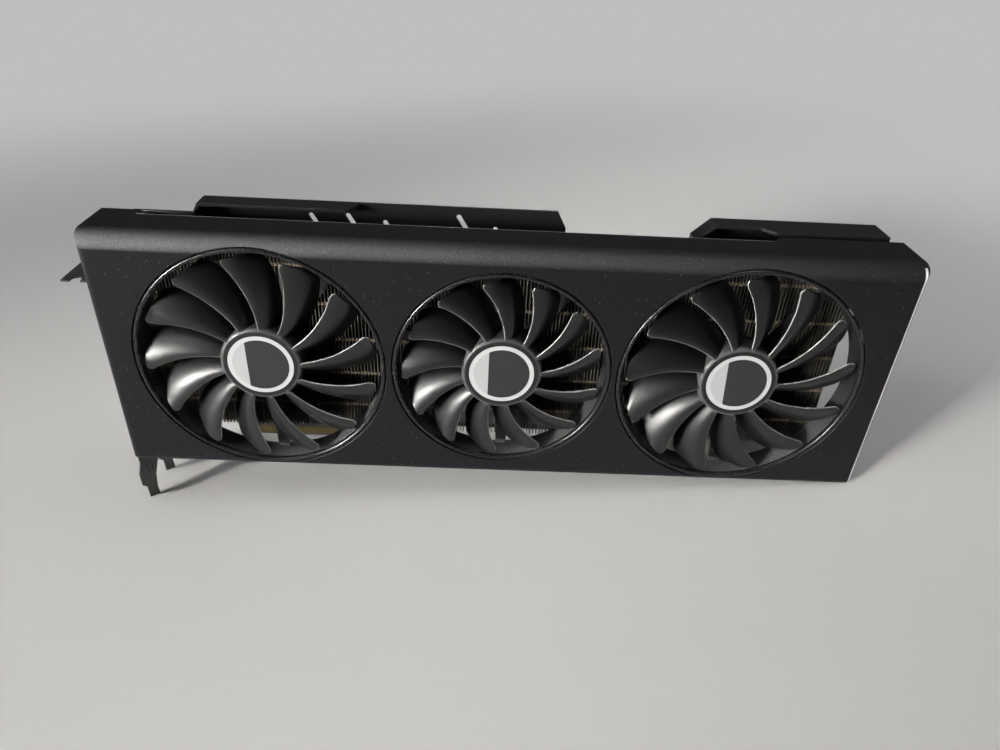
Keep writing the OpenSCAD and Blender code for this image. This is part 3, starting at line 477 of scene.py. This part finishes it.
def grow(tree, mesh, **values):
    """Runs a geometry tree on a mesh and returns the mesh that it makes."""
    holder = bpy.data.objects.new(tree.name, mesh)
    bpy.context.collection.objects.link(holder)
    modifier = holder.modifiers.new(tree.name, "NODES")
    modifier.node_group = tree
    for item in tree.interface.items_tree:
        if item.in_out == "INPUT" and item.name in values:
            modifier[item.identifier] = values[item.name]
    graph = bpy.context.evaluated_depsgraph_get()
    made = bpy.data.meshes.new_from_object(holder.evaluated_get(graph))
    bpy.data.objects.remove(holder)
    return made


wheel, ask = group(
    "blade_wheel",
    {"Blade": "Geometry", "Count": "Int", "First": "Float", "Axis": "Vector", "Finish": "Material"},
    "Wheel",
)
spot = ask["Blade"].node("GeometryNodePoints", {}, {"Count": ask["Count"]})
number = spot.node("GeometryNodeInputIndex", {}, {})
turn = -1.0 * (ask["First"] + number * (2 * math.pi) / ask["Count"])
spin = turn.node("ShaderNodeCombineXYZ", {}, {"Y": turn})
blades = spot.node("GeometryNodeInstanceOnPoints", {}, {"Points": spot, "Instance": ask["Blade"], "Rotation": spin})
placed = blades.node("GeometryNodeTranslateInstances", {}, {"Instances": blades, "Translation": ask["Axis"], "Local Space": False})
close(wheel, placed, ask["Finish"])


def rotor_paint(place):
    grain = noise(place, 0.5 * mm, 2.0)
    shade = blend(noise(place, 12 * mm), (0.003, 0.003, 0.0035), (0.006, 0.006, 0.0065))
    # Painted highlight: the nose weight lightens the rounded leading edges to a pale line.
    nose = place.node("ShaderNodeAttribute", {"attribute_name": "nose"}, {}, out="Fac")
    shade = blend(nose ** 2.0, shade, (0.40, 0.40, 0.39))
    # A paler ring on each hub's shoulder, all round: dust, and a painted highlight that lifts the shoulder as if lit.
    x, z = place.axis(0), place.axis(2)
    reach = [((x - a.x) ** 2.0 + (z - a.z) ** 2.0) ** 0.5 / mm for a in fan_axes.values()]
    shoulder_dust_and_sheen = sum((r > hub_rim_r + 0.2) * (r < hub_r + 0.1) for r in reach)
    return {
        "Base Color": blend(shoulder_dust_and_sheen, shade, (0.06, 0.06, 0.06)),
        "Roughness": 0.32 + 0.1 * grain,
        "Normal": relief(grain, 0.05 * mm),
    }


rotor_plastic = finish("rotor_plastic", rotor_paint, **{"Specular IOR Level": 0.58})
shoulder = hub_r - hub_rim_r
bend = [math.radians(15 * k) for k in range(7)]
hub_profile = (
    [(0.0, label_t), (label_r, label_t), (label_r, 0.0)]
    + [(hub_rim_r + shoulder * math.sin(a), shoulder * (1 - math.cos(a))) for a in bend]
    + [(hub_r, hub_depth), (hub_r - hub_wall, hub_depth), (hub_r - hub_wall, hub_face_t), (boss[0], hub_face_t)]
    + [boss, (shaft_seat[0], boss[1]), shaft_seat, (0.0, shaft_seat[1])]
)
for fan, first in zip(fans, first_blade):
    blade = blade_mesh(fan_rims[fan] - rim_w - tip_gap)
    values = {"Count": blade_count, "First": math.radians(first), "Axis": fan_axes[fan], "Finish": rotor_plastic}
    vanes = grow(wheel, blade, **values)
    work = bmesh.new()
    lathe(work, hub_profile, fan_axes[fan], 96)
    bmesh.ops.recalc_face_normals(work, faces=work.faces)
    work.from_mesh(vanes)
    rotor = bpy.data.meshes.new("rotor_" + fan)
    work.to_mesh(rotor)
    work.free()
    rotor.materials.append(rotor_plastic)
    rotor.shade_smooth()
    rotor.set_sharp_from_angle(angle=math.radians(38))
    show(rotor, "rotor_vanes_" + fan, ["rotor_" + fan], "fan_" + fan)


# The hub labels: thin printed film in a shallow seat on each hub. A pale rim surrounds a dark
# field, and a pale strip fills the left side up to a straight chord.
def paint(material, *names):
    for name in names:
        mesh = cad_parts[name].data
        mesh.materials.clear()
        mesh.materials.append(material)


def label_paint(axis, lean):
    def draw(place):
        x = (place.axis(0) - axis.x) / mm
        z = (place.axis(2) - axis.z) / mm
        r = (x ** 2.0 + z ** 2.0) ** 0.5
        field = (r < 12.1) * (x + lean * z > -5.7)
        film = noise(place, 8 * mm)
        pale = blend(r > 12.1, (0.38, 0.395, 0.395), (0.48, 0.49, 0.49))
        print_shade = blend(film, (0.014, 0.014, 0.015), (0.022, 0.022, 0.023))
        return {"Base Color": blend(field, pale, print_shade), "Roughness": 0.36 + 0.1 * film}
    return draw


for fan, lean in zip(fans, (0.0, 0.0, 0.07)):
    paint(finish("label_film_" + fan, label_paint(fan_axes[fan], lean)), "hub_label_" + fan)


# The motors: a steel shaft pressed into each hub, a ferrite ring in the cup, a sintered bronze
# sleeve in the tube of the frame and a stator wound with enamelled copper.
def metal(dark, light, rough, stretch=(1.0, 1.0, 1.0), size=1.5 * mm):
    def draw(place):
        streak = noise(place.scaled(*stretch), size, 3.0)
        return {"Base Color": blend(streak, dark, light), "Roughness": rough + 0.15 * streak}
    return draw


def matt(dark, light, rough, size, depth):
    def draw(place):
        grain = noise(place, size, 3.0)
        return {
            "Base Color": blend(grain, dark, light),
            "Roughness": rough + 0.1 * grain,
            "Normal": relief(grain, depth),
        }
    return draw


steel = finish("steel", metal((0.48, 0.48, 0.49), (0.60, 0.60, 0.61), 0.25, (1.0, 0.1, 1.0)), Metallic=1.0)
ferrite = finish("ferrite", matt((0.06, 0.06, 0.06), (0.10, 0.10, 0.10), 0.55, 0.4 * mm, 0.02 * mm))
bronze = finish("bronze", metal((0.42, 0.30, 0.16), (0.56, 0.41, 0.24), 0.4), Metallic=1.0)
winding = finish("winding", metal((0.42, 0.20, 0.08), (0.60, 0.32, 0.15), 0.3, (1.0, 6.0, 1.0)), Metallic=1.0)
for fan in fans:
    paint(steel, "shaft_" + fan)
    paint(ferrite, "magnet_ring_" + fan)
    paint(bronze, "bearing_" + fan)
    paint(winding, "stator_" + fan)

# The fin stacks: thin stamped aluminium fins on edge, coloured dark as painted shade for the
# shadow inside the cover. Tabs folded from each fin lock into the next, as a floor at the back and as rows across the
# front.
fin_pitch = 1.5 * mm
fin_t = 0.4 * mm
fin_floor = 1.0 * mm
tab_rows = (12.6, 29.8, 47.0, 64.2, 81.4)
tab_h = 1.4 * mm
tab_depth = 0.6 * mm
tab_slit = 0.35 * mm
plug_gap = 4.6 * mm
latch_t = 1.2 * mm


def fin_mesh(low, high, room, tabs):
    """One fin. The room is the depth and height where its rear top corner is cut, or nothing."""
    outline = [(low.y, low.z), (high.y, low.z), (high.y, high.z), (low.y, high.z)]
    floor_top = high.z
    if room:
        outline[2:3] = [(high.y, room[1]), (room[0], room[1]), (room[0], high.z)]
        floor_top = room[1]
    work = bmesh.new()
    sides = [[work.verts.new((x, y, z)) for y, z in outline] for x in (0.0, fin_t)]
    work.faces.new(sides[0])
    work.faces.new(sides[1])
    for k in range(len(outline)):
        after = (k + 1) % len(outline)
        work.faces.new((sides[0][k], sides[0][after], sides[1][after], sides[1][k]))
    bmesh.ops.recalc_face_normals(work, faces=work.faces)
    if tabs:
        block(work, (fin_t, high.y - fin_floor, low.z), (fin_pitch, high.y, floor_top))
        for row in tab_rows:
            z = low.z + row * mm
            block(work, (fin_t, low.y, z), (fin_pitch - tab_slit, low.y + tab_depth, z + tab_h))
    mesh = bpy.data.meshes.new("fin")
    work.to_mesh(mesh)
    work.free()
    return mesh


fin_row, ask = group(
    "fin_row",
    {"Fin": "Geometry", "Count": "Int", "Start": "Float", "Pitch": "Float", "Finish": "Material"},
    "Row",
)
begin = ask["Start"].node("ShaderNodeCombineXYZ", {}, {"X": ask["Start"]})
step = ask["Pitch"].node("ShaderNodeCombineXYZ", {}, {"X": ask["Pitch"]})
line = step.node(
    "GeometryNodeMeshLine", {"mode": "OFFSET"}, {"Count": ask["Count"], "Start Location": begin, "Offset": step}
)
fins = line.node("GeometryNodeInstanceOnPoints", {}, {"Points": line, "Instance": ask["Fin"]})
close(fin_row, fins, ask["Finish"])

fin_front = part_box("fin_stack_left")[0].y
fin_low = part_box("fin_stack_left")[0].z


def fin_paint(place):
    streak = noise(place.scaled(1.0, 1.0, 0.15), 0.8 * mm, 3.0)
    # Painted shade: the fin sheet's colour is kept dark for the shadow that the fins sit in.
    sheet = blend(streak, (0.15, 0.143, 0.13), (0.30, 0.285, 0.255))
    # Painted highlight: a warm pale colour on the front faces of the tab rows, where they catch the light.
    rows = sum(abs(place.axis(2) - (fin_low + row * mm + tab_h / 2)) < 0.52 * tab_h for row in tab_rows)
    front = place.axis(1) < fin_front + 1.1 * tab_depth
    return {"Base Color": blend(front * rows * streak, sheet, (0.66, 0.53, 0.36)), "Roughness": 0.30 + 0.2 * streak}


fin_metal = finish("fin_metal", fin_paint, Metallic=0.9)
socket_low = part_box("power_socket_left")[0]
socket_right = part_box("power_socket_right")[1].x
room_y = socket_low.y + latch_t - plug_gap
room_z = socket_low.z - plug_gap
room_x = (socket_low.x - plug_gap, socket_right + plug_gap)
for stack in ("fin_stack_left", "fin_stack_centre", "fin_stack_right"):
    low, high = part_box(stack)
    count = round((high.x - low.x - fin_t) / fin_pitch) + 1
    starts = [low.x + k * fin_pitch for k in range(count)]
    work = bmesh.new()
    for (cut, tabs), run in itertools.groupby(starts, lambda x: (room_x[0] < x < room_x[1], x < starts[-1])):
        run = list(run)
        fin = fin_mesh(low, high, (room_y, room_z) if cut else None, tabs)
        made = grow(fin_row, fin, Count=len(run), Start=run[0], Pitch=fin_pitch, Finish=fin_metal)
        work.from_mesh(made)
    mesh = bpy.data.meshes.new(stack)
    work.to_mesh(mesh)
    work.free()
    mesh.materials.append(fin_metal)
    show(mesh, stack + "_fins", [stack], "card")

# The heat pipes and the cold plate: flattened copper tubes soldered under the fins, and the
# copper block that they cross above the processor.
copper = finish("copper", metal((0.50, 0.26, 0.15), (0.66, 0.38, 0.24), 0.3, (0.1, 1.0, 1.0)), Metallic=1.0)
paint(copper, "heat_pipes", "cold_plate")

# The mid plate: a dark cast aluminium plate between the heatsink and the board, with soft grey
# pads under it for the memory and the power stages, and paste on the processor's die.
cast = finish("cast_plate", metal((0.16, 0.16, 0.165), (0.26, 0.26, 0.265), 0.45, size=0.8 * mm), Metallic=0.8)
soft = finish("thermal_compound", matt((0.34, 0.37, 0.40), (0.44, 0.47, 0.50), 0.75, 1.2 * mm, 0.05 * mm))
paint(cast, "mid_plate")
paint(soft, "thermal_pads", "thermal_paste")

# The standoffs and spacers: small turned brass tubes that keep the mid plate, the board and the
# backplate apart, with the backplate's screws through them.
brass = finish("brass", metal((0.46, 0.37, 0.19), (0.62, 0.52, 0.30), 0.28, (1.0, 8.0, 1.0)), Metallic=1.0)
paint(brass, "standoffs", "backplate_spacers")


# The circuit board: glass fibre under black solder mask, through which the copper tracks show as
# a faint relief. The gold-plated contacts of the edge connector lie on both of its faces, coloured
# dark as painted shade.
def board_paint(place):
    tracks = place.node("ShaderNodeTexVoronoi", {"distance": "MANHATTAN"}, {"Vector": place, "Scale": 1 / (2.5 * mm)})
    shade = blend(tracks, (0.014, 0.018, 0.018), (0.024, 0.029, 0.028))
    return {"Base Color": shade, "Roughness": 0.30 + 0.1 * tracks, "Normal": relief(tracks, 0.04 * mm)}


paint(finish("solder_mask", board_paint), "circuit_board")
# Painted shade: the contacts' gold is coloured dark for the shadow under the card.
gold = finish("gold_plate", metal((0.16, 0.112, 0.04), (0.23, 0.165, 0.065), 0.34, (1.0, 1.0, 0.1)), Metallic=1.0)
paint(gold, "edge_contacts")

# The processor: a bare polished silicon die on a green laminate package.
laminate = finish("laminate", matt((0.05, 0.14, 0.08), (0.07, 0.18, 0.11), 0.45, 0.6 * mm, 0.01 * mm))
silicon = finish("silicon", metal((0.17, 0.18, 0.21), (0.23, 0.24, 0.28), 0.1, size=6 * mm))
paint(laminate, "processor_package")
paint(silicon, "processor_die")

# The memory chips and power stages: epoxy mouldings soldered to the front of the board, with a
# column of pressed chokes and drawn aluminium capacitors beside the power stages.
epoxy = finish("epoxy", matt((0.022, 0.022, 0.022), (0.038, 0.038, 0.038), 0.5, 0.3 * mm, 0.02 * mm))
pressed = finish("pressed_iron", matt((0.08, 0.08, 0.08), (0.13, 0.13, 0.13), 0.6, 0.3 * mm, 0.03 * mm))
can = finish("drawn_can", metal((0.44, 0.44, 0.46), (0.56, 0.56, 0.58), 0.25, (1.0, 0.1, 1.0)), Metallic=1.0)
paint(epoxy, "memory_chips", "power_stages")
paint(pressed, "chokes")
paint(can, "capacitors")

# The sockets on the board: black nylon power sockets with tinned pins in square cells, and a
# small pale header for the leads of the fans.
nylon = finish("nylon", matt((0.016, 0.016, 0.016), (0.026, 0.026, 0.026), 0.42, 0.5 * mm, 0.02 * mm))
tin = finish("tin", metal((0.54, 0.52, 0.46), (0.68, 0.66, 0.59), 0.25), Metallic=1.0)
pale_nylon = finish("pale_nylon", matt((0.64, 0.63, 0.58), (0.74, 0.73, 0.69), 0.45, 0.8 * mm, 0.02 * mm))
paint(nylon, "power_socket_left", "power_socket_right")
paint(tin, "power_pins")
paint(pale_nylon, "fan_header")

# The slot bracket: stamped steel sheet under black powder coat, folded out at the top for the
# case's screws. Two screws hold it to the board, and plated display sockets reach through it.
coat = finish("powder_coat", matt((0.020, 0.020, 0.021), (0.032, 0.032, 0.033), 0.38, 0.5 * mm, 0.04 * mm))
softened("slot_bracket", 0.12 * mm, coat)
plated = finish("plated_steel", metal((0.44, 0.44, 0.45), (0.56, 0.56, 0.57), 0.25, (0.1, 1.0, 1.0)), Metallic=1.0)
paint(plated, "wide_display_sockets", "narrow_display_socket")


# The backplate: black-coated aluminium sheet, stamped with slanted vents and folded forward in
# lips along its top. Screws hold it to the standoffs and to the posts of the cover.
def back_paint(place):
    grain = noise(place, 0.5 * mm, 3.0)
    dust = specks(place, 4.0 * mm, 0.15 * mm) * (noise(place, 30 * mm) > 0.55)
    shade = blend(noise(place, 60 * mm), (0.009, 0.009, 0.0105), (0.013, 0.013, 0.0145))
    return {
        "Base Color": blend(dust, shade, (0.2, 0.2, 0.2)),
        "Roughness": 0.30 + 0.12 * grain,
        "Normal": relief(grain, 0.03 * mm),
    }


softened("backplate", 0.25 * mm, finish("backplate_coat", back_paint, **{"Specular IOR Level": 0.3}))

# The retention bracket: a sprung steel cross behind the board. Four shouldered screws draw the
# cold plate onto the die with it.
paint(steel, "retention_bracket")

# The screws: cold-headed steel, mostly blackened, each with a pan head and a cross recess. All lie
# along the card's depth, and only those of the bracket have their heads towards the front.
head_h = 1.4
recess_w = 0.12
recess_reach = 0.6
recess_depth = 0.9


def islands(node):
    """The lowest and highest corners of each separate solid of a node."""
    work = bmesh.new()
    work.from_mesh(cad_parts[node].data)
    bmesh.ops.remove_doubles(work, verts=work.verts, dist=0.002 * mm)
    left = set(work.verts)
    boxes = []
    while left:
        found = [left.pop()]
        for vert in found:
            fresh = [edge.other_vert(vert) for edge in vert.link_edges if edge.other_vert(vert) in left]
            left.difference_update(fresh)
            found += fresh
        spans = [[vert.co[k] for vert in found] for k in range(3)]
        boxes.append((Vector([min(span) for span in spans]), Vector([max(span) for span in spans])))
    work.free()
    return boxes


def screw_mesh(head_r, shank_r, shank_l):
    """One screw along Y, with its seat at the origin and a cross recess in the top of its head."""
    work = bmesh.new()
    crown = 0.35 * head_h
    profile = [(0.0, -shank_l), (shank_r, -shank_l), (shank_r, 0.0), (head_r, 0.0), (head_r, head_h - crown)]
    profile += [(head_r - crown * (1 - math.cos(a)), head_h - crown * (1 - math.sin(a))) for a in (0.5, 1.0, math.pi / 2)]
    lathe(work, profile, Vector(), 24)
    rim = [edge for edge in work.edges if edge.is_boundary]
    wide, far = recess_w * head_r, recess_reach * head_r
    cross = [(wide, wide), (wide, far), (-wide, far), (-wide, wide), (-far, wide), (-far, -wide)]
    cross += [(-wide, -wide), (-wide, -far), (wide, -far), (wide, -wide), (far, -wide), (far, wide)]
    tops = [work.verts.new(Vector((x, head_h, z)) * mm) for x, z in cross]
    lows = [work.verts.new(Vector((0.8 * x, head_h - recess_depth, 0.8 * z)) * mm) for x, z in cross]
    edges = [work.edges.new((tops[k - 1], tops[k])) for k in range(12)]
    bmesh.ops.triangle_fill(work, edges=rim + edges, use_beauty=True)
    for k in range(12):
        work.faces.new((tops[k - 1], tops[k], lows[k], lows[k - 1]))
    work.faces.new(lows)
    bmesh.ops.recalc_face_normals(work, faces=work.faces)
    mesh = bpy.data.meshes.new("screw")
    work.to_mesh(mesh)
    work.free()
    return mesh


screw_set, ask = group(
    "screw_set",
    {"Seats": "Geometry", "Screw": "Object", "Facing": "Float", "Seed": "Int", "Finish": "Material"},
    "Screws",
)
shape = ask["Screw"].node("GeometryNodeObjectInfo", {}, {"Object": ask["Screw"]}, out="Geometry")
turn = shape.node("FunctionNodeRandomValue", {"data_type": "FLOAT"}, {2: 0.0, 3: 2 * math.pi, 8: ask["Seed"]}, out=1)
pose = turn.node("ShaderNodeCombineXYZ", {}, {"X": ask["Facing"], "Y": turn})
screws = shape.node("GeometryNodeInstanceOnPoints", {}, {"Points": ask["Seats"], "Instance": shape, "Rotation": pose})
close(screw_set, screws, ask["Finish"])

blackened = finish("blackened_steel", metal((0.024, 0.024, 0.026), (0.040, 0.040, 0.042), 0.3), Metallic=0.6)
for node, shank_r, front, skin, slot in (
    ("fan_screws", 1.1, False, blackened, "screw_black"),
    ("bracket_screws", 1.25, True, blackened, "screw_black"),
    ("backplate_screws", 1.25, False, blackened, "screw_black"),
    ("spring_screws", 1.25, False, steel, "steel"),
):
    work = bmesh.new()
    boxes = islands(node)
    for reach in sorted({round((high.y - low.y) / mm, 2) for low, high in boxes}):
        like = [box for box in boxes if round((box[1].y - box[0].y) / mm, 2) == reach]
        head_r = (like[0][1].x - like[0][0].x) / 2 / mm
        seats = bpy.data.meshes.new("seats")
        seats.from_pydata([
            ((low.x + high.x) / 2, low.y + head_h * mm if front else high.y - head_h * mm, (low.z + high.z) / 2)
            for low, high in like
        ], [], [])
        model = bpy.data.objects.new("screw", screw_mesh(head_r, shank_r, reach - head_h))
        values = {"Screw": model, "Facing": math.pi if front else 0.0, "Seed": 7, "Finish": skin}
        work.from_mesh(grow(screw_set, seats, **values))
        bpy.data.objects.remove(model)
    mesh = bpy.data.meshes.new(node)
    work.to_mesh(mesh)
    work.free()
    mesh.materials.append(skin)
    mesh.shade_smooth()
    mesh.set_sharp_from_angle(angle=math.radians(38))
    show(mesh, node + "_cross", [node], "card")
